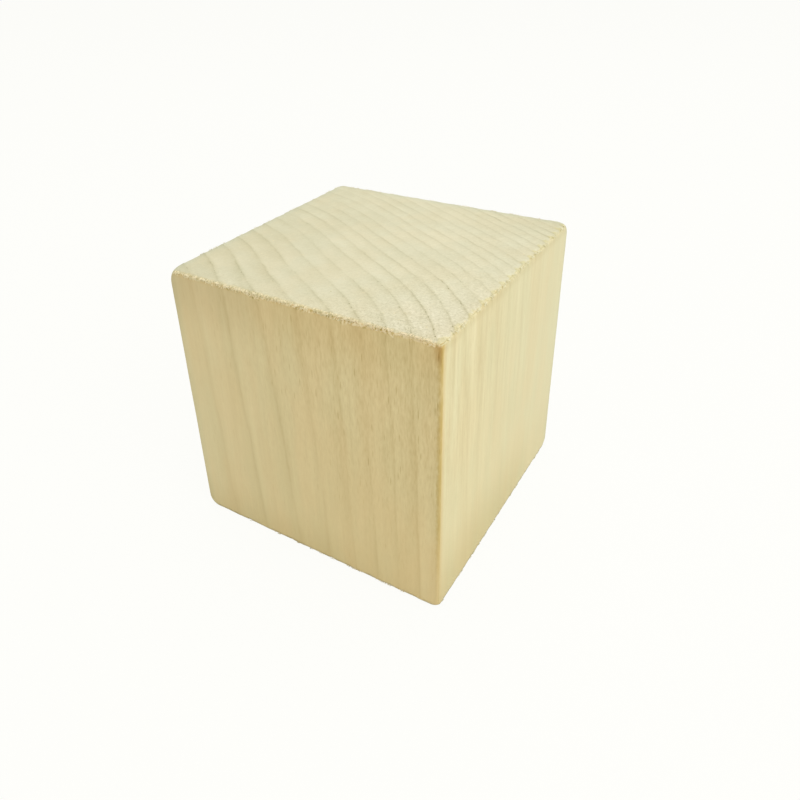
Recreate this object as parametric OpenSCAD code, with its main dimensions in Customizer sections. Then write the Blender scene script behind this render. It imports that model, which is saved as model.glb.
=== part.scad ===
// A plain wooden cube: one solid block, cut from square stock. The grain runs
// upright, so the top and the underside are end grain. All twelve edges are
// lightly sanded, and the eight corners are worn a little rounder than the edges.
// +Z is up, along the grain. The origin is the middle of the underside.

/* [Block] */
// Width across the grain, along X
block_w = 50; // [20:1:120]
// Depth across the grain, along Y
block_d = 50; // [20:1:120]
// Height along the grain, along Z
block_h = 50; // [20:1:120]

/* [Sanding] */
// Radius of the twelve sanded edges
edge_r = 0.5; // [0.2:0.1:3]
// How far each corner is worn back, along the block's diagonal
corner_wear = 0.9; // [0.5:0.1:3]

/* [Hidden] */
$fn = 128;

// Distance from the middle of the block to where its worn corners end
corner_reach = norm([block_w, block_d, block_h]) / 2 - corner_wear;

// A rectangle about the origin, with its four corners rounded
module rounded_rectangle(x, y) {
    square([x - 2 * edge_r, y], center = true);
    square([x, y - 2 * edge_r], center = true);
    for (side_x = [-1, 1], side_y = [-1, 1])
        translate([side_x * (x / 2 - edge_r), side_y * (y / 2 - edge_r)])
            circle(r = edge_r);
}

// The block is what three rounded bars have in common, one along each axis, so
// every edge is a true quarter round. A ball takes the eight corners back.
module block() {
    color([0.87, 0.82, 0.66])
        translate([0, 0, block_h / 2])
            intersection() {
                linear_extrude(block_h, center = true)
                    rounded_rectangle(block_w, block_d);
                rotate([90, 0, 0])
                    linear_extrude(block_d, center = true)
                        rounded_rectangle(block_w, block_h);
                rotate([90, 0, 90])
                    linear_extrude(block_w, center = true)
                        rounded_rectangle(block_d, block_h);
                sphere(r = corner_reach);
            }
}

block();
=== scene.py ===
import math
import random

import bmesh
import bpy
from mathutils import Euler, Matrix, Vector, noise


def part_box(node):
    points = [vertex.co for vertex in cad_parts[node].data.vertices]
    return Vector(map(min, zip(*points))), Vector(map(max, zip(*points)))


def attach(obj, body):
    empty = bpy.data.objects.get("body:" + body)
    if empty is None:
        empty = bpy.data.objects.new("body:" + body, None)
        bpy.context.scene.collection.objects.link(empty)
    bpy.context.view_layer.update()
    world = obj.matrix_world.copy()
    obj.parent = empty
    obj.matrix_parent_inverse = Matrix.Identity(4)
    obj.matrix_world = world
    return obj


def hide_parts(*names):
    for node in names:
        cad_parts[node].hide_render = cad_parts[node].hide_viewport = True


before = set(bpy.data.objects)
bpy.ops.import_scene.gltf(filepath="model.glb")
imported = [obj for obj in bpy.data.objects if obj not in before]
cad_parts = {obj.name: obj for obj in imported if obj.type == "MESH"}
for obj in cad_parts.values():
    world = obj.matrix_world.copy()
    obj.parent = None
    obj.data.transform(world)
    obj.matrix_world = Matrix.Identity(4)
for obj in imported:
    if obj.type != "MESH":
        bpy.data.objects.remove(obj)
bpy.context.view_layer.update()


# ---------------------------------------------------------------------------
# The tree
# The block is one piece of a pale hardwood that stood a little off upright, so
# its growth rings are long, slightly wavy arcs about a heart outside the block.
# The same rings shape the surface and colour it, on the end grain and the sides.
# ---------------------------------------------------------------------------

mm = 0.001
low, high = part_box("block")

heart_x = -31.4 * mm      # the tree's heart, where it passes the block's top face
heart_y = -71.5 * mm
lean_x = 0.021            # how far the heart moves for each metre of height
lean_y = -0.062
slow_wave = (6.0 * mm, 2.5, 2.78)      # size, waves per radian, start
quick_wave = (0.84 * mm, 10.15, -0.95)

first_ring = 44.1 * mm    # distance of the innermost dark line from the heart
year_count = 25
young_width = 4.8 * mm    # how wide the tree grew in the year after that line
old_width = 1.5 * mm      # the width that its years come down to as it ages
slowing = 10.5            # how many years most of that takes
dark_years = (1, 2, 20, 21)            # the years that ended in the darkest wood,
dark_wood = 0.95                       # how dark that is,
first_dark = 0.7                       # the innermost line,
common_wood = (0.35, 0.65)             # and the last wood of all the other years
tree_chance = random.Random(5)

years = []
for year in range(year_count):
    width = old_width + (young_width - old_width) * math.exp(-year / slowing)
    darkness = tree_chance.uniform(*common_wood)
    years.append((width, dark_wood if year in dark_years else darkness))

ring_places = [first_ring]
for width, darkness in years:
    ring_places.append(ring_places[-1] + width)
last_ring = ring_places[-1]


def years_from_heart(place):
    """How many years out a point lies, counted from the innermost dark line."""
    rise = place.z - high.z
    across = place.x - heart_x - lean_x * rise
    along = place.y - heart_y - lean_y * rise
    angle = math.atan2(along, across)
    distance = math.hypot(across, along)
    for swing, turns, start in (slow_wave, quick_wave):
        distance -= swing * math.sin(turns * angle + start)
    for year, inner in enumerate(ring_places[:-1]):
        outer = ring_places[year + 1]
        if distance < outer:
            return year + max(0.0, (distance - inner) / (outer - inner))
    return float(year_count)


# ---------------------------------------------------------------------------
# The block
# Sawn from square stock and sanded: flat faces, edges taken off by hand, and
# corners worn rounder. The saw and the sanding left the soft early wood a hair
# lower than the hard late wood, and nibbled the edges of the end grain.
# ---------------------------------------------------------------------------

proud = 0.06 * mm         # room on the sides and top for the torn fibres
edge_radius = 0.38 * mm

# The end grain's eight edges: which way each faces, how ragged the saw left it,
# and how deep the soft early wood broke away between the rings, in millimetres
torn_edges = {
    (0, -1, 1): (1.0, 0.06), (1, 0, 1): (0.4, 0.30), (0, 1, 1): (0.2, 0.04), (-1, 0, 1): (0.2, 0.05),
    (0, -1, -1): (0.2, 0.05), (1, 0, -1): (0.2, 0.06), (0, 1, -1): (0.2, 0.04), (-1, 0, -1): (0.2, 0.05),
}
# How near each corner the wear begins, in millimetres along its diagonal
worn_corners = {
    (-1, -1, 1): 1.5, (1, -1, 1): 1.0, (1, 1, 1): 1.4, (-1, 1, 1): 0.9,
    (-1, -1, -1): 1.5, (1, -1, -1): 1.1, (1, 1, -1): 1.3, (-1, 1, -1): 1.2,
}

body_low = Vector((low.x + proud, low.y + proud, low.z))
body_high = Vector((high.x - proud, high.y - proud, high.z - proud))
body_size = body_high - body_low
body_middle = (body_low + body_high) / 2
half_x, half_y = body_size.x / 2, body_size.y / 2

bpy.ops.object.select_all(action="DESELECT")
bpy.ops.mesh.primitive_cube_add(size=1, location=body_middle, scale=body_size)
block = bpy.context.object
block.name = "solid_block"
block.data.name = "solid_block"
bpy.ops.object.transform_apply(location=True, rotation=True, scale=True)

bpy.ops.object.mode_set(mode="EDIT")
bpy.ops.mesh.select_mode(type="EDGE")
bpy.ops.mesh.select_all(action="SELECT")
bpy.ops.mesh.bevel(offset=edge_radius, segments=4, profile=0.5, affect="EDGES")

# A narrow strip beside every rounded edge, so that the faces stay flat up to it,
# and more level cuts near the top and bottom, where the end grain is nibbled
strip = edge_radius + 0.10 * mm
nibbled_levels = (0.75, 1.05, 1.4, 1.9, 2.6, 3.6)      # in from the end grain, in millimetres
cuts = [(axis, strip) for axis in range(3)]
cuts += [(2, depth * mm) for depth in nibbled_levels]
for axis, depth in cuts:
    for level in (body_low[axis] + depth, body_high[axis] - depth):
        plane_point = [0, 0, 0]
        plane_point[axis] = level
        plane_normal = [0, 0, 0]
        plane_normal[axis] = 1
        bpy.ops.mesh.select_all(action="SELECT")
        bpy.ops.mesh.bisect(plane_co=plane_point, plane_no=plane_normal)


def split_edges(axis, longer_than, cuts):
    """Cuts every edge that runs along one axis and is long enough."""
    bpy.ops.mesh.select_all(action="DESELECT")
    shape = bmesh.from_edit_mesh(block.data)
    for edge in shape.edges:
        run = edge.verts[1].co - edge.verts[0].co
        if abs(run[axis]) > longer_than and abs(run[axis]) > 0.999 * run.length:
            edge.select = True
    bmesh.update_edit_mesh(block.data)
    bpy.ops.mesh.subdivide(number_cuts=cuts)


# Once up the grain, and twice across it, so that the nibbles and rings can show
long_edge = 5 * mm
short_edge = 1 * mm
split_edges(2, long_edge, 30)
for axis in (0, 1):
    split_edges(axis, long_edge, 11)
    split_edges(axis, short_edge, 12)
bpy.ops.mesh.select_all(action="DESELECT")
bpy.ops.object.mode_set(mode="OBJECT")

# Chips out of the end grain's edges, most of them along the bottom: where each
# is, how far it reaches and how deep it goes
foot_nick = Vector((-15 * mm, body_low.y, body_low.z))
chips = [
    (Vector((body_high.x - 1.6 * mm, body_low.y, body_high.z)), 2.0 * mm, 0.32 * mm),
    (foot_nick, 0.8 * mm, 0.14 * mm),
    (Vector((-5 * mm, body_low.y, body_low.z)), 0.6 * mm, 0.10 * mm),
    (Vector((4 * mm, body_low.y, body_low.z)), 0.8 * mm, 0.13 * mm),
]
small_chips = 46
chip_run = 0.47           # how far along its edge a chip may lie, as a share of the width
chance = random.Random(7)
for number in range(small_chips):
    side = chance.choice(((1, 0), (-1, 0), (0, 1), (0, -1)))
    run = chance.uniform(-chip_run, chip_run)
    at_bottom = number % 3 != 0
    spot = Vector((
        side[0] * half_x + side[1] * run * body_size.x,
        side[1] * half_y + side[0] * run * body_size.y,
        body_low.z if at_bottom else body_high.z,
    ))
    reach = chance.uniform(0.3, 0.6) * mm
    chips.append((spot, reach, reach * chance.uniform(0.1, 0.3)))


# How deep the wear goes, in millimetres
end_hollow = 0.035        # soft early wood on the end grain
side_hollow = 0.010       # and on the sides
face_dip = 0.03
fibre_groove = 0.006
saw_fuzz = 0.02
nibble_depth = 0.17
edge_wave = 0.03
upright_rub = 0.07
edge_zone = 1.5 * mm      # edges are worn within this distance,
edge_fade = 0.45 * mm     # and mostly within this one
corner_push = 0.55        # how far back a corner goes, as a share of its wear


def unevenness(place, fineness):
    """Noise from 0 to 1. A higher fineness makes it finer."""
    return 0.5 + 0.5 * noise.noise(place * fineness)


def surface_wear(place, normal):
    """How the saw, sanding and handling moved one point of the surface."""
    inset = Vector((
        half_x - abs(place.x),
        half_y - abs(place.y),
        min(place.z - body_low.z, body_high.z - place.z),
    ))
    year = years_from_heart(place)
    part = year % 1.0
    soft = math.sin(math.pi * part) ** 0.7
    end_grain = abs(normal.z)

    # Soft early wood lies lower, more so on the end grain
    sink = soft * (end_hollow * end_grain + side_hollow * (1 - end_grain)) * mm
    # Faces are never quite flat
    sink += unevenness(place, 60) * face_dip * mm
    # Fine hollows along the fibres on the sides
    along = Vector((place.x, place.y, place.z * 0.05))
    sink += unevenness(along, 900) * fibre_groove * (1 - end_grain) * mm
    # The fuzz that the saw leaves on the end grain
    sink += unevenness(place, 2400) * saw_fuzz * end_grain * mm

    # Nibbled edges round the end grain
    toward = [1 if place[axis] > body_middle[axis] else -1 for axis in range(3)]
    side = (toward[0], 0) if inset.x < inset.y else (0, toward[1])
    ragged, step_depth = torn_edges[(*side, toward[2])]
    end_edge = max(inset.z, min(inset.x, inset.y))
    if end_edge < edge_zone:
        nibble = max(0.0, noise.noise(place * 1100) + 0.35 * noise.noise(place * 2900))
        wave = unevenness(place, 260)
        near = math.exp(-(end_edge / edge_fade) ** 2)
        sink += (nibble_depth * ragged * nibble + edge_wave * wave + step_depth * soft) * near * mm
        for spot, reach, depth in chips:
            gap = (place - spot).length / reach
            if gap < 1:
                sink += depth * (1 - gap * gap) ** 2

    # Upright edges, rubbed unevenly
    upright_edge = max(inset.x, inset.y)
    if upright_edge < edge_zone:
        rub = unevenness(Vector((place.x, place.y, place.z * 0.5)), 240)
        sink += upright_rub * rub * math.exp(-(upright_edge / edge_fade) ** 2) * mm

    move = -sink * normal
    # Corners worn back
    wear = worn_corners[tuple(toward)] * mm
    from_corner = (inset.x + inset.y + inset.z) / math.sqrt(3)
    if from_corner < wear:
        lack = 1 - from_corner / wear
        move -= corner_push * wear * lack * lack * Vector(toward).normalized()
    return move


moves = [surface_wear(v.co.copy(), v.normal.copy()) for v in block.data.vertices]
for vertex, move in zip(block.data.vertices, moves):
    vertex.co += move

bpy.ops.object.shade_smooth_by_angle(angle=math.radians(50))
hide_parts("block")
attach(block, "root")


# ---------------------------------------------------------------------------
# Bare wood
# Sanded and left without oil or varnish. The end grain is paler and greyer, with
# pores and rays; the sides are yellower, with long fibres and pore lines. All of
# it follows from the place inside the tree, so it carries over every edge.
# ---------------------------------------------------------------------------

wood = bpy.data.materials.new("bare_pale_wood")
wood.use_nodes = True
shader_tree = wood.node_tree
shader = shader_tree.nodes["Principled BSDF"]
shader.inputs["Specular IOR Level"].default_value = 0.35


def feed(socket, source):
    """Joins a socket to another node's output, or sets it to a plain value."""
    if isinstance(source, bpy.types.NodeSocket):
        shader_tree.links.new(source, socket)
    elif source is not None:
        socket.default_value = source


def calc(operation, *sources):
    """One step of arithmetic."""
    step = shader_tree.nodes.new("ShaderNodeMath")
    step.operation = operation
    for socket, source in zip(step.inputs, sources):
        feed(socket, source)
    return step.outputs[0]


def total(*sources):
    """Adds up any number of values."""
    answer = sources[0]
    for source in sources[1:]:
        answer = calc("ADD", answer, source)
    return answer


def product(*sources):
    """Multiplies any number of values."""
    answer = sources[0]
    for source in sources[1:]:
        answer = calc("MULTIPLY", answer, source)
    return answer


def ramp(source, low_in, high_in, low_out=0.0, high_out=1.0):
    """A soft step from low_out to high_out while the source goes from low_in to high_in."""
    step = shader_tree.nodes.new("ShaderNodeMapRange")
    step.interpolation_type = "SMOOTHSTEP"
    for socket, value in zip(step.inputs, (source, low_in, high_in, low_out, high_out)):
        feed(socket, value)
    return step.outputs[0]


def fade(source, full, none):
    """1 up to the first value, falling softly to 0 at the second."""
    return ramp(source, full, none, 1.0, 0.0)


def line_near(source, centre, half_width):
    """1 where the source is at the centre, falling softly to 0 a half width away."""
    return fade(calc("ABSOLUTE", calc("SUBTRACT", source, centre)), 0.0, half_width)


def vector(x, y, z):
    """A vector from three values."""
    made = shader_tree.nodes.new("ShaderNodeCombineXYZ")
    for socket, source in zip(made.inputs, (x, y, z)):
        feed(socket, source)
    return made.outputs[0]


def parts_of(source):
    """The three values in a vector."""
    made = shader_tree.nodes.new("ShaderNodeSeparateXYZ")
    feed(made.inputs[0], source)
    return made.outputs


def cloud(place, scale, detail=2.0):
    """Soft noise about zero, from -0.5 to 0.5."""
    made = shader_tree.nodes.new("ShaderNodeTexNoise")
    feed(made.inputs["Vector"], place)
    made.inputs["Scale"].default_value = scale
    made.inputs["Detail"].default_value = detail
    return calc("SUBTRACT", made.outputs[0], 0.5)


def curve(source, points):
    """A line through points, each (in, out) from 0 to 1."""
    made = shader_tree.nodes.new("ShaderNodeFloatCurve")
    line = made.mapping.curves[0]
    while len(line.points) < len(points):
        line.points.new(0.5, 0.5)
    for point, (x, y) in zip(line.points, points):
        point.location = (x, y)
        point.handle_type = "VECTOR"
    made.mapping.update()
    feed(made.inputs["Value"], source)
    return made.outputs[0]


def mixed(blend, first, second, amount):
    """Two colours put together by one of the mix node's blends."""
    made = shader_tree.nodes.new("ShaderNodeMix")
    made.data_type = "RGBA"
    made.blend_type = blend
    feed(made.inputs[0], amount)
    feed(made.inputs[6], (*first, 1.0) if isinstance(first, tuple) else first)
    feed(made.inputs[7], (*second, 1.0) if isinstance(second, tuple) else second)
    return made.outputs[2]


def tinted(colour, tint, amount):
    """A colour seen through a thin tint."""
    return mixed("MULTIPLY", colour, tint, amount)


def shaded(colour, light, green_share, blue_share):
    """A colour made lighter or darker. Wood that is darker is also warmer."""
    light = calc("MAXIMUM", light, 0.05)
    shade = vector(light, calc("POWER", light, green_share), calc("POWER", light, blue_share))
    return tinted(colour, shade, 1.0)


def drawn_out(share):
    """The place in the wood with only a share of its height, so that a pattern runs with the grain."""
    return vector(x, y, calc("MULTIPLY", z, share))


def within_tree(outward, out_scale, angle_scale, height_scale):
    """A place counted out from the heart, round it and up the trunk, each to its own scale."""
    return vector(calc("MULTIPLY", outward, out_scale), calc("MULTIPLY", angle, angle_scale),
                  calc("MULTIPLY", z, height_scale))


def distance_to(spot):
    """How far a point of the wood is from one spot."""
    made = shader_tree.nodes.new("ShaderNodeVectorMath")
    made.operation = "DISTANCE"
    feed(made.inputs[0], place)
    feed(made.inputs[1], spot)
    return made.outputs["Value"]


def from_end_grain():
    """How far in a point of the wood lies from the nearer end of the grain."""
    return calc("MINIMUM", calc("SUBTRACT", body_high.z, z), calc("SUBTRACT", z, body_low.z))


def bumped(height, strength, depth):
    """The slope that a pattern of heights gives the surface."""
    made = shader_tree.nodes.new("ShaderNodeBump")
    made.inputs["Strength"].default_value = strength
    made.inputs["Distance"].default_value = depth
    feed(made.inputs["Height"], height)
    return made.outputs[0]


where = shader_tree.nodes.new("ShaderNodeTexCoord")
place = where.outputs["Object"]
x, y, z = parts_of(place)
face_x, face_y, face_z = parts_of(where.outputs["Normal"])
border = calc("MULTIPLY_ADD", cloud(place, 1500, 2.0), 0.9, calc("ABSOLUTE", face_z))
end_grain = ramp(border, 0.60, 0.90)
side_grain = calc("SUBTRACT", 1.0, end_grain)

# How far in from the side faces, and from the end grain
inset_x = calc("SUBTRACT", half_x, calc("ABSOLUTE", x))
inset_z = from_end_grain()
# The grain was raised most about one corner, where the saw came out
rough_corner = Vector((body_high.x, body_low.y, body_high.z))
from_corner = distance_to(rough_corner)
from_front = calc("SUBTRACT", y, body_low.y)
from_right = calc("SUBTRACT", x, body_high.x)
from_edge = calc("SQRT", total(calc("POWER", from_right, 2.0), calc("POWER", from_front, 2.0)))
from_top = calc("SUBTRACT", body_high.z, z)
from_foot = calc("SUBTRACT", z, body_low.z)
turned_x = calc("ABSOLUTE", face_x)
turned_y = calc("ABSOLUTE", face_y)
planed = ramp(turned_x, 0.45, 0.85)            # the left and right sides
band_sawn = ramp(turned_y, 0.45, 0.85)         # the front and back
end_roughness = total(
    ramp(from_corner, 3 * mm, 28 * mm, 1.9, 0.25),
    ramp(from_corner, 10 * mm, 70 * mm, 0.55, 0.15),
    ramp(from_front, 0.0, 6 * mm, 0.7, 0.0),
    ramp(x, 2 * mm, half_x, 0.0, 0.45),
)
side_roughness = ramp(from_corner, 5 * mm, 50 * mm, 2.0, 0.35)

# The place in the tree: distance from the heart, angle about it, and years out
rise = calc("SUBTRACT", z, high.z)
across = calc("SUBTRACT", calc("SUBTRACT", x, heart_x), calc("MULTIPLY", rise, lean_x))
along = calc("SUBTRACT", calc("SUBTRACT", y, heart_y), calc("MULTIPLY", rise, lean_y))
angle = calc("ARCTAN2", along, across)
distance = calc("SQRT", total(calc("MULTIPLY", across, across), calc("MULTIPLY", along, along)))
ring = distance
for swing, turns, start in (slow_wave, quick_wave):
    swell = calc("SINE", calc("MULTIPLY_ADD", angle, turns, start))
    ring = calc("SUBTRACT", ring, calc("MULTIPLY", swell, swing))
fibre_place = drawn_out(0.04)
wander_place = drawn_out(0.35)
# The rings waver too, in swings from long to short
for pattern, scale, detail, sway in (
    (fibre_place, 140, 1.0, 0.40 * mm),
    (wander_place, 300, 2.0, 0.62 * mm),
    (fibre_place, 750, 1.0, 0.34 * mm),
    (fibre_place, 1800, 1.0, 0.12 * mm),
):
    ring = calc("MULTIPLY_ADD", cloud(pattern, scale, detail), sway, ring)

reach = last_ring - first_ring
share = calc("DIVIDE", calc("SUBTRACT", ring, first_ring), reach)
year_places = [((at - first_ring) / reach, number / year_count) for number, at in enumerate(ring_places)]
age = calc("MULTIPLY", curve(share, year_places), year_count)
part = calc("FRACT", age)
year_darkness = [(0.0, first_dark)]
year_darkness += [((number + 1) / year_count, dark) for number, (width, dark) in enumerate(years)]
darkness = curve(calc("DIVIDE", age, year_count), year_darkness)

# Across one year: a thin dark line, the pale first growth, then slowly darker
tone = curve(part, [(0.0, 0.0), (0.012, 0.16), (0.03, 0.42), (0.06, 0.66), (0.10, 0.86), (0.18, 1.0),
                    (0.30, 0.98), (0.46, 0.92), (0.62, 0.83), (0.76, 0.70), (0.87, 0.53), (0.94, 0.34),
                    (0.98, 0.10), (1.0, 0.0)])
# On the right of the end grain the dark line is thin and the rest of the year is even
crisp_tone = curve(part, [(0.0, 0.0), (0.012, 0.12), (0.03, 0.36), (0.06, 0.66), (0.10, 0.84), (0.18, 0.96),
                          (0.40, 1.0), (0.62, 0.95), (0.76, 0.86), (0.87, 0.72), (0.93, 0.52), (0.97, 0.22),
                          (0.99, 0.04), (1.0, 0.0)])
crisp = ramp(x, -8 * mm, 12 * mm)
end_tone = total(product(tone, calc("SUBTRACT", 1.0, crisp)),
                 product(calc("SUBTRACT", crisp_tone, 0.06), crisp))
even_tone = 0.78          # the tone that leaves the wood neither darker nor paler
end_line_depth = 0.212
side_line_depth = 0.085
# The lines come and go along their length, and stand out most near the rough corner
ring_place = within_tree(ring, 260, 9.0, 14)
come_and_go = ramp(cloud(ring_place, 1.0, 2.0), -0.20, 0.20, 0.40, 1.50)
end_rings = product(calc("SUBTRACT", end_tone, even_tone), darkness, come_and_go,
                    ramp(from_corner, 8 * mm, 50 * mm, 1.0, 0.85),
                    ramp(from_corner, 52 * mm, 68 * mm, 1.0, 0.4),
                    ramp(x, -5 * mm, 15 * mm, 1.0, 1.4), end_line_depth)
# Long soft bands that follow the rings
band_place = within_tree(ring, 1500, 15.0, 30)
growth_bands = product(cloud(band_place, 1.0, 2.0), 0.062)
# The planed sides are cut almost along the rings, so that these hardly show
ring_strength = calc("MULTIPLY_ADD", turned_x, ramp(y, body_low.y, body_high.y, -0.70, -0.92), 1.0)
side_rings = product(calc("SUBTRACT", tone, even_tone), calc("POWER", darkness, 0.5),
                     calc("MULTIPLY_ADD", come_and_go, 0.6, 0.4), ring_strength,
                     ramp(from_edge, 4 * mm, 14 * mm, 1.5, 1.0), side_line_depth)

# Fibres on the sides: fine short ones, longer ones that waver, and broad streaks
waver = calc("MULTIPLY", cloud(wander_place, 260, 2.0), 0.5 * mm)
wavy_x = calc("ADD", x, waver)
wavy_y = calc("ADD", y, waver)
calm = total(product(ramp(from_corner, 5 * mm, 65 * mm, 1.15, 0.55), calc("SUBTRACT", 1.0, planed)),
             product(ramp(from_corner, 4 * mm, 52 * mm, 2.05, 0.40), planed))
fine_fibres = cloud(vector(wavy_x, wavy_y, calc("MULTIPLY", z, 0.25)), 3000, 2.0)
long_fibres = cloud(vector(wavy_x, wavy_y, calc("MULTIPLY", z, 0.06)), 1500, 3.0)
streaks = total(
    product(fine_fibres, side_roughness, calc("MULTIPLY_ADD", planed, -0.6, 1.0), 0.15),
    product(long_fibres, calm, 0.125),
    product(cloud(drawn_out(0.10), 420, 2.0), calm, 0.11),
    product(cloud(drawn_out(0.25), 190, 2.0), calm, 0.07),
)
# Fine sanding fuzz and broader patches on the end grain
fuzz = total(
    product(cloud(place, 4200, 2.0), end_roughness, 0.17),
    product(cloud(place, 1900, 2.0), end_roughness, 0.12),
    product(cloud(place, 1000, 2.0), fade(from_corner, 3 * mm, 22 * mm), 0.13),
    product(cloud(place, 420, 2.0), 0.075),
    product(cloud(place, 150, 2.0), 0.15),
)
# Rays: thin pale lines that run straight out from the heart
ray_place = within_tree(distance, 520, 330, 120)
rays = product(cloud(ray_place, 1.0, 2.0), 0.12)


def pores(cells, scale, size, share_open):
    """Some of the cells of a pattern, each with a soft dot in its middle."""
    made = shader_tree.nodes.new("ShaderNodeTexVoronoi")
    feed(made.inputs["Vector"], cells)
    made.inputs["Scale"].default_value = scale
    hole = fade(made.outputs["Distance"], size * 0.45, size)
    pick = parts_of(made.outputs["Color"])[0]
    chosen = ramp(pick, 1.0 - share_open, 1.0 - share_open * 0.8)
    return calc("MULTIPLY", hole, chosen)


small_pores = pores(drawn_out(0.11), 4300, 0.42, 0.40)
large_pores = pores(drawn_out(0.12), 2300, 0.28, 0.22)
# Short dashes along the rings, where the saw tore the end grain
dashes = pores(within_tree(ring, 1.0, 0.026, 0.2), 2900, 0.36, 0.34)
pitting = calc("MULTIPLY_ADD", small_pores, 0.08, calc("MULTIPLY", large_pores, 0.20))
pore_line = calc("MULTIPLY", fade(tone, 0.1, 0.5), darkness)    # most along each ring

# Painted light on the end grain, laid out by the rings: darker toward the heart and at the outermost rings,
# and a little darker toward the left
painted_ring_light = curve(share, [(0.0, 0.945), (0.35, 0.985), (0.60, 1.0), (0.80, 1.0), (0.95, 0.93), (1.0, 0.92)])
end_light = total(painted_ring_light, ramp(x, -half_x, 2 * mm, -0.045, 0.004), end_rings, growth_bands, fuzz, rays,
                  product(pitting, end_roughness, calc("ADD", pore_line, 0.30), -1.0),
                  product(dashes, end_roughness, calc("MULTIPLY_ADD", pore_line, 1.4, 0.25), -0.15))
side_light = total(1.002, side_rings, streaks,
                   product(pitting, side_roughness, -0.45),
                   product(ramp(from_edge, 4 * mm, 14 * mm, 0.022, 0.0), planed))

# Hue drifts a little between straw and green-grey
drift = ramp(cloud(drawn_out(0.3), 170, 2.0), -0.18, 0.18)
end_colour = mixed("MIX", (0.743, 0.702, 0.486), (0.731, 0.708, 0.502), drift)
side_colour = mixed("MIX", (0.776, 0.684, 0.409), (0.755, 0.694, 0.424), drift)
# The sides that the band saw left are browner than the planed ones, partly their own colour and partly
# painted shade: the warmer, darker cast of the front in shade
side_colour = tinted(side_colour, (1.02, 0.95, 0.86), band_sawn)
end_colour = tinted(end_colour, (1.008, 0.990, 0.997), fade(from_corner, 4 * mm, 20 * mm))
end_colour = shaded(end_colour, end_light, 1.05, 1.5)
# Yellow fuzz where the planed side begins, which bites into the soft wood after each dark line
side_near = calc("MULTIPLY_ADD", cloud(place, 900, 2.0), 1.6 * mm, calc("SUBTRACT", body_high.x, x))
bite = ramp(part, 0.0, 0.7, 0.85 * mm, 0.0)
end_colour = tinted(end_colour, (0.97, 0.945, 0.79),
                    fade(calc("SUBTRACT", side_near, bite), 0.15 * mm, 0.55 * mm))
front_near = calc("MULTIPLY_ADD", cloud(place, 900, 2.0), 1.6 * mm, from_front)
end_colour = tinted(end_colour, (0.965, 0.925, 0.82), fade(front_near, 0.2 * mm, 0.9 * mm))
side_colour = shaded(side_colour, side_light, 1.28, 1.95)

# More honey-coloured near the front upright edge, greyer away from it
wash = mixed("MIX", (0.985, 0.975, 0.925), (1.004, 1.03, 1.055), ramp(from_edge, 0.0, 50 * mm))
side_colour = tinted(side_colour, wash, 1.0)
# Darker under the top on the sawn sides, and painted shade above the foot, on the planed sides and on the
# left half of the sawn ones
brow = product(fade(from_top, 1 * mm, 12 * mm), band_sawn)
side_colour = tinted(side_colour, (0.952, 0.922, 0.865), brow)
side_colour = tinted(side_colour, (0.955, 0.945, 0.96), calc("MULTIPLY", brow, fade(x, -14 * mm, 0.0)))
sawn_foot_shade = product(fade(from_foot, 0.0, 10 * mm), band_sawn)
side_colour = tinted(side_colour, (0.93, 0.92, 0.88), calc("MULTIPLY", sawn_foot_shade, fade(x, 0.0, 15 * mm)))
foot = product(fade(from_foot, 0.0, 17 * mm), planed)
side_colour = tinted(side_colour, (0.885, 0.86, 0.78),
                     calc("MULTIPLY", foot, ramp(y, 2 * mm, 18 * mm, 1.0, 0.35)))

# Scorched honey lines beside the upright edges, and a darker burn by one corner
uneven = ramp(cloud(drawn_out(0.5), 420, 2.0), -0.25, 0.10, 0.35, 1.0)
tatter = cloud(drawn_out(0.5), 2400, 2.0)
tattered = calc("MULTIPLY_ADD", tatter, 0.7 * mm, inset_x)
over_edge = ramp(turned_y, 0.05, 0.40)
honey = product(line_near(tattered, 0.16 * mm, 0.72 * mm), over_edge, uneven)
honey = product(honey, ramp(from_corner, 26 * mm, 48 * mm, 1.0, 0.25), ramp(x, -5 * mm, 5 * mm, 0.35, 1.0))
side_colour = tinted(side_colour, (0.81, 0.73, 0.50), honey)
burn = product(line_near(tattered, 0.62 * mm, 1.25 * mm), fade(from_corner, 1.2 * mm, 4.5 * mm), band_sawn)
side_colour = tinted(side_colour, (0.81, 0.69, 0.52), burn)
# A rubbed, pinker line along the edges of the planed sides
rubbed = product(fade(from_edge, 0.35 * mm, 1.6 * mm), calc("SUBTRACT", 1.0, band_sawn),
                 ramp(from_corner, 28 * mm, 48 * mm, 1.0, 0.45))
side_colour = tinted(side_colour, (0.96, 0.865, 0.72), rubbed)
# Under the end grain's edges the torn wood is deeper in colour
torn = product(fade(inset_z, 0.20 * mm, 1.2 * mm), uneven)
side_colour = tinted(side_colour, (1.01, 0.95, 0.82), calc("MULTIPLY", torn, band_sawn))
under_top = fade(from_top, 0.9 * mm, 2.2 * mm)
side_colour = tinted(side_colour, (0.94, 0.93, 0.895), calc("MULTIPLY", under_top, planed))
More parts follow.
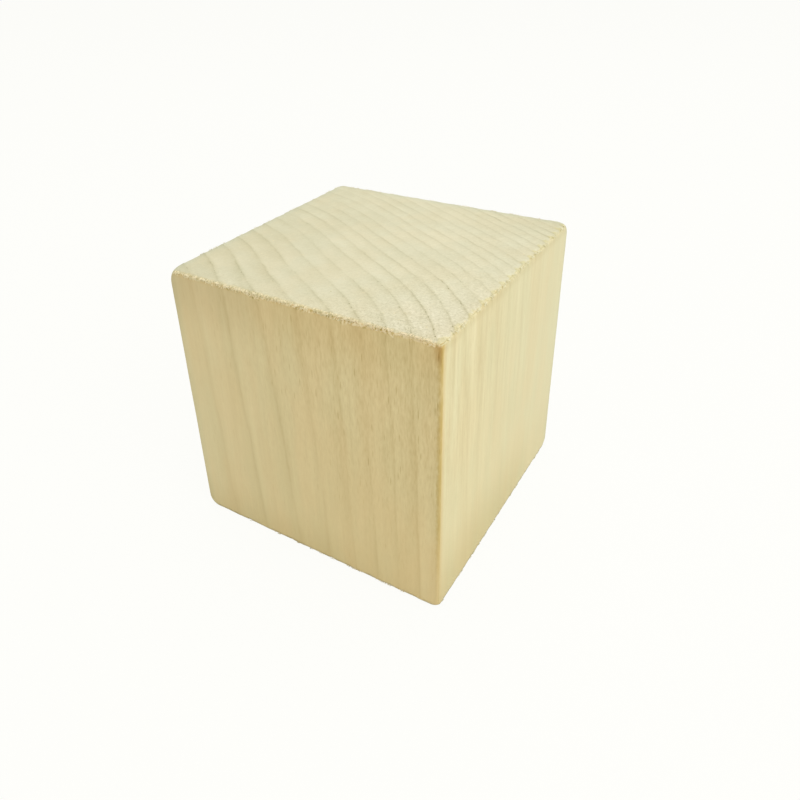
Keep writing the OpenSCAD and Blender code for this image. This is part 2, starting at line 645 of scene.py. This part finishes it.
# The fray below the top edges: specks of pale fuzz, partly painted highlight on the curls, with painted
# shade in the hollows between them
fray_depth = ramp(x, -half_x, 0.0, 0.55 * mm, 0.90 * mm)
fray_reach = calc("MULTIPLY_ADD", cloud(place, 420, 2.0), 2.4 * mm, fray_depth)
frayed = fade(calc("SUBTRACT", from_top, fray_reach), -0.35 * mm, 0.15 * mm)
frayed = calc("MULTIPLY", frayed, calc("MULTIPLY_ADD", planed, -0.75, 1.0))
speck = cloud(drawn_out(0.7), 2300, 1.0)
rim = product(fade(inset_z, 0.25 * mm, 0.85 * mm), band_sawn, ramp(x, -20 * mm, 15 * mm, 0.3, 0.95),
              ramp(cloud(place, 800, 2.0), -0.12, 0.10))
side_colour = mixed("MIX", side_colour, (0.94, 0.82, 0.53), rim)
side_colour = mixed("MIX", side_colour, (0.96, 0.85, 0.56), product(frayed, ramp(speck, 0.0, 0.11), 0.8))
# Painted shade in the hollows between the specks
fray_hollow_shade = product(frayed, fade(speck, -0.18, -0.05), ramp(x, 8 * mm, half_x, 1.0, 0.4))
side_colour = tinted(side_colour, (0.62, 0.62, 0.38), fray_hollow_shade)
# Grey from handling along the far edges, and painted shade along the foot, where it meets the floor
from_far = calc("MINIMUM", calc("SUBTRACT", x, body_low.x), calc("SUBTRACT", body_high.y, y))
seen_edge = product(ramp(face_x, -0.9, -0.5), fade(face_y, 0.5, 0.9))
end_colour = tinted(end_colour, (0.935, 0.97, 1.0),
                    product(fade(from_far, 0.3 * mm, 2.2 * mm), seen_edge))
side_colour = tinted(side_colour, (0.92, 0.96, 0.99),
                     product(fade(from_far, 0.2 * mm, 2.2 * mm), seen_edge))
# Painted shade along the foot, in a ragged band
foot_shade_reach = calc("MULTIPLY_ADD", cloud(place, 700, 2.0), 0.6 * mm, from_foot)
foot_contact_shade = fade(foot_shade_reach, 0.30 * mm, 0.95 * mm)
side_colour = tinted(side_colour, (0.66, 0.68, 0.70), foot_contact_shade)
# Darker round one nick in the foot
side_colour = tinted(side_colour, (0.50, 0.44, 0.46), fade(distance_to(foot_nick), 0.35 * mm, 0.85 * mm))
colour = mixed("MIX", side_colour, end_colour, end_grain)

feed(shader.inputs["Base Color"], colour)
feed(shader.inputs["Roughness"], total(0.68, product(streaks, 0.6), product(pitting, 0.8)))

relief = total(
    product(streaks, side_grain, 1.2),
    product(total(fuzz, rays), end_grain, 0.9),
    product(pitting, -2.0),
)
feed(shader.inputs["Normal"], bumped(relief, 0.6, 0.06 * mm))
block.data.materials.append(wood)


# ---------------------------------------------------------------------------
# Torn fibres
# The saw leaves short splinters of wood standing along the edges of the end
# grain. Each is a bundle of fibres that still grows out of the side, leans over
# the edge and ends in a thin tip. One is modelled, and the rest are bent copies.
# ---------------------------------------------------------------------------

bpy.ops.object.select_all(action="DESELECT")
bpy.ops.mesh.primitive_cylinder_add(vertices=5, radius=0.5, depth=1, location=(0, 0, 0.5))
splinter = bpy.context.object
bpy.ops.object.transform_apply(location=True, rotation=True, scale=True)
bpy.ops.object.mode_set(mode="EDIT")
bends = (0.25, 0.55, 0.8)                # where it can bend, as shares of its length,
thinner_ends = ((0.0, 0.45), (1.0, 0.2))  # and how much its foot and tip are narrowed
for level in bends:
    bpy.ops.mesh.select_all(action="SELECT")
    bpy.ops.mesh.bisect(plane_co=(0, 0, level), plane_no=(0, 0, 1))
for level, width in thinner_ends:
    bpy.ops.mesh.select_all(action="DESELECT")
    shape = bmesh.from_edit_mesh(splinter.data)
    for vertex in shape.verts:
        vertex.select = abs(vertex.co.z - level) < 0.01
    shape.select_flush_mode()
    bmesh.update_edit_mesh(splinter.data)
    bpy.ops.transform.resize(value=(width, width, 1))
bpy.ops.object.mode_set(mode="OBJECT")

start_gap = 1.4 * mm      # the ends of an edge carry no splinters
end_gap = 1.2 * mm
fuzz_share = 0.75         # the rest are longer splinters
rubbed_from = 8 * mm      # toward the rough corner they are rubbed shorter,
rubbed_over = 10 * mm
rubbed_off = 0.55         # by this share
chance = random.Random(11)
tufts = bmesh.new()
for (*outward, up), (ragged, step_depth) in torn_edges.items():
    length = half_y if outward[0] else half_x
    edge_z = body_high.z if up > 0 else body_low.z
    run = -length + start_gap
    while run < length - end_gap:
        run += chance.uniform(0.03, 0.09) / ragged * mm
        bare = noise.noise(Vector((run * 700, outward[0] * 7.3 + outward[1] * 3.1, up * 5.7)))
        if bare < 0.35 - 0.75 * ragged:
            continue
        # Either a short curl of fuzz or a longer splinter
        if chance.random() < fuzz_share:
            tall = chance.uniform(0.12, 0.32) * mm
            wide = chance.uniform(0.10, 0.26) * mm
            thick = chance.uniform(0.06, 0.11) * mm
            slant = chance.uniform(-1.2, 1.2)
            below = chance.uniform(0.0, 0.75) ** 1.6 * (0.3 + 0.7 * ragged) * mm
        else:
            tall = chance.uniform(0.25, 0.70) * (0.4 + 0.6 * ragged) * mm
            wide = chance.uniform(0.06, 0.15) * mm
            thick = chance.uniform(0.04, 0.06) * mm
            slant = chance.uniform(-0.35, 0.35)
            below = 0.0
        curl = chance.uniform(0.0, 0.25) * mm
        if outward == [0, -1] and up > 0:
            tall *= 1.0 - rubbed_off * min(1.0, max(0.0, (run - rubbed_from) / rubbed_over))
        stand = chance.uniform(0.2, 1.0) * (proud - 0.5 * thick)
        first = len(tufts.verts)
        first_face = len(tufts.faces)
        tufts.from_mesh(splinter.data)
        tufts.verts.ensure_lookup_table()
        tufts.faces.ensure_lookup_table()
        for vertex in tufts.verts[first:]:
            part_up = vertex.co.z
            depth = max(0.0, below + tall * (1 - part_up))
            # Over the edge the wood is rounded back, and the tuft lies on it
            lack = max(0.0, 1 - depth / edge_radius)
            rounding = edge_radius * (1 - math.sqrt(1 - lack * lack)) * 0.8
            bow = math.sin(math.pi * min(1.0, part_up * 1.1))
            tip_curl = curl * max(0.0, part_up - 0.6) ** 2 * 6
            out = (stand + 0.4 * thick) * bow - 0.5 * thick - rounding - tip_curl
            out = min(out + vertex.co.y * thick, proud * 0.95)
            height = min(0.03 * mm - depth, 0.0 if up < 0 else proud * 0.6)
            sideways = run + vertex.co.x * wide + slant * tall * part_up
            if outward[0]:
                at = (outward[0] * (half_x + out), sideways)
            else:
                at = (sideways, outward[1] * (half_y + out))
            vertex.co = (*at, edge_z + up * height)
        # Half of the edges are mirror images, which turns the faces inside out
        if (outward[1] - outward[0]) * up < 0:
            for face in tufts.faces[first_face:]:
                face.normal_flip()
fringe_mesh = bpy.data.meshes.new("torn_fibres")
tufts.to_mesh(fringe_mesh)
tufts.free()
bpy.data.objects.remove(splinter)
fringe = bpy.data.objects.new("torn_fibres", fringe_mesh)
bpy.context.scene.collection.objects.link(fringe)

fibre = bpy.data.materials.new("torn_fibre_wood")
fibre.use_nodes = True
shader_tree = fibre.node_tree
shader = shader_tree.nodes["Principled BSDF"]
shader.inputs["Specular IOR Level"].default_value = 0.3
where = shader_tree.nodes.new("ShaderNodeTexCoord")
place = where.outputs["Object"]
x, y, z = parts_of(place)
tone = ramp(cloud(drawn_out(0.4), 3000, 2.0), -0.16, 0.08)
inset_z = from_end_grain()
# Painted shade toward each tuft's root, down in the fray
root = ramp(inset_z, 0.15 * mm, 0.9 * mm, 0.0, 0.25)
tone = calc("SUBTRACT", tone, root)
corner_tone = mixed("MIX", (0.66, 0.59, 0.31), (0.84, 0.74, 0.46), ramp(x, 6 * mm, 20 * mm))
pale_tone = mixed("MIX", (0.97, 0.88, 0.60), (0.90, 0.79, 0.54), ramp(x, 4 * mm, 16 * mm))
sawn_tone = mixed("MIX", corner_tone, pale_tone, tone)
planed_tone = mixed("MIX", (0.79, 0.75, 0.49), (0.85, 0.81, 0.57), tone)
on_planed = ramp(calc("ABSOLUTE", x), half_x - 0.7 * mm, half_x - 0.3 * mm)
feed(shader.inputs["Base Color"], mixed("MIX", sawn_tone, planed_tone, on_planed))
feed(shader.inputs["Roughness"], calc("MULTIPLY_ADD", tone, 0.15, 0.7))
feed(shader.inputs["Normal"], bumped(cloud(place, 9000, 1.0), 0.4, 0.03 * mm))
fringe.data.materials.append(fibre)
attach(fringe, "root")


# ---------------------------------------------------------------------------
# Floor
# A sheet of white paper under the block. It looks evenly white, and keeps a
# little of the block's shadow.
# ---------------------------------------------------------------------------

bpy.ops.object.select_all(action="DESELECT")
bpy.ops.mesh.primitive_plane_add(size=4, location=(0, 0, 0))
floor = bpy.context.object
floor.name = "floor"


def seen_directly(tree):
    """1 where the camera sees a surface straight, in a mirror or through glass."""
    path = tree.nodes.new("ShaderNodeLightPath")
    answer = path.outputs["Is Camera Ray"]
    for ray in ("Is Glossy Ray", "Is Transmission Ray"):
        either = tree.nodes.new("ShaderNodeMath")
        either.operation = "MAXIMUM"
        tree.links.new(answer, either.inputs[0])
        tree.links.new(path.outputs[ray], either.inputs[1])
        answer = either.outputs[0]
    return answer


paper_glow = 0.94         # the rest of the paper's look is lit, and so holds the shadow
white = bpy.data.materials.new("white_paper")
white.use_nodes = True
tree = white.node_tree
surface = tree.nodes["Principled BSDF"]
surface.inputs["Base Color"].default_value = (0.9, 0.9, 0.88, 1)
surface.inputs["Roughness"].default_value = 0.9
surface.inputs["Specular IOR Level"].default_value = 0.2
glow = tree.nodes.new("ShaderNodeEmission")
glow.inputs["Color"].default_value = (1.0, 1.0, 0.97, 1)
mix = tree.nodes.new("ShaderNodeMixShader")
shadow_kept = tree.nodes.new("ShaderNodeMath")
shadow_kept.operation = "MULTIPLY"
shadow_kept.inputs[1].default_value = paper_glow
tree.links.new(seen_directly(tree), shadow_kept.inputs[0])
tree.links.new(shadow_kept.outputs[0], mix.inputs["Fac"])
tree.links.new(surface.outputs[0], mix.inputs[1])
tree.links.new(glow.outputs[0], mix.inputs[2])
tree.links.new(mix.outputs[0], tree.nodes["Material Output"].inputs["Surface"])
floor.data.materials.append(white)


# ---------------------------------------------------------------------------
# Light
# Soft light of a pale room from all round, with a large square lamp for a window
# high on the right and a larger one for a lit ceiling.
# ---------------------------------------------------------------------------

world = bpy.data.worlds.new("soft_room")
bpy.context.scene.world = world
world.use_nodes = True
tree = world.node_tree
room = tree.nodes["Background"]
room.inputs["Color"].default_value = (1.0, 0.95, 0.86, 1)
room.inputs["Strength"].default_value = 0.565
backdrop = tree.nodes.new("ShaderNodeBackground")
backdrop.inputs["Color"].default_value = (0.995, 0.995, 0.965, 1)
mix = tree.nodes.new("ShaderNodeMixShader")
tree.links.new(seen_directly(tree), mix.inputs["Fac"])
tree.links.new(room.outputs[0], mix.inputs[1])
tree.links.new(backdrop.outputs[0], mix.inputs[2])
tree.links.new(mix.outputs[0], tree.nodes["World Output"].inputs["Surface"])

block_middle = (low + high) / 2


def soft_box(name, place, width, watts, colour):
    """A square area lamp that faces the block."""
    lamp = bpy.data.lights.new(name, "AREA")
    lamp.shape = "SQUARE"
    lamp.size = width
    lamp.energy = watts
    lamp.color = colour
    holder = bpy.data.objects.new(name, lamp)
    bpy.context.scene.collection.objects.link(holder)
    holder.location = place
    holder.rotation_euler = (block_middle - Vector(place)).to_track_quat("-Z", "Y").to_euler()


soft_box("window", place=(0.55, -0.12, 0.45), width=0.5, watts=1.72, colour=(0.97, 1.0, 1.08))
soft_box("ceiling", place=(0.0, 0.1, 0.8), width=0.7, watts=1.99, colour=(1.0, 1.0, 1.03))


# ---------------------------------------------------------------------------
# Camera
# Held close to the block, in front of its front right edge and higher than the
# top, so that the upright edges lean together toward the foot.
# ---------------------------------------------------------------------------

lens = bpy.data.cameras.new("camera")
lens.sensor_width = 36
lens.lens = 31.95
lens.shift_x = 0.0272
lens.shift_y = -0.0933
lens.clip_start = 0.01
camera = bpy.data.objects.new("camera", lens)
bpy.context.scene.collection.objects.link(camera)
camera.location = (60.32 * mm, -96.02 * mm, 96.42 * mm)
camera.rotation_euler = Euler([math.radians(turn) for turn in (61.23, 1.59, 31.57)])
bpy.context.scene.camera = camera

bpy.context.scene.view_settings.view_transform = "Standard"
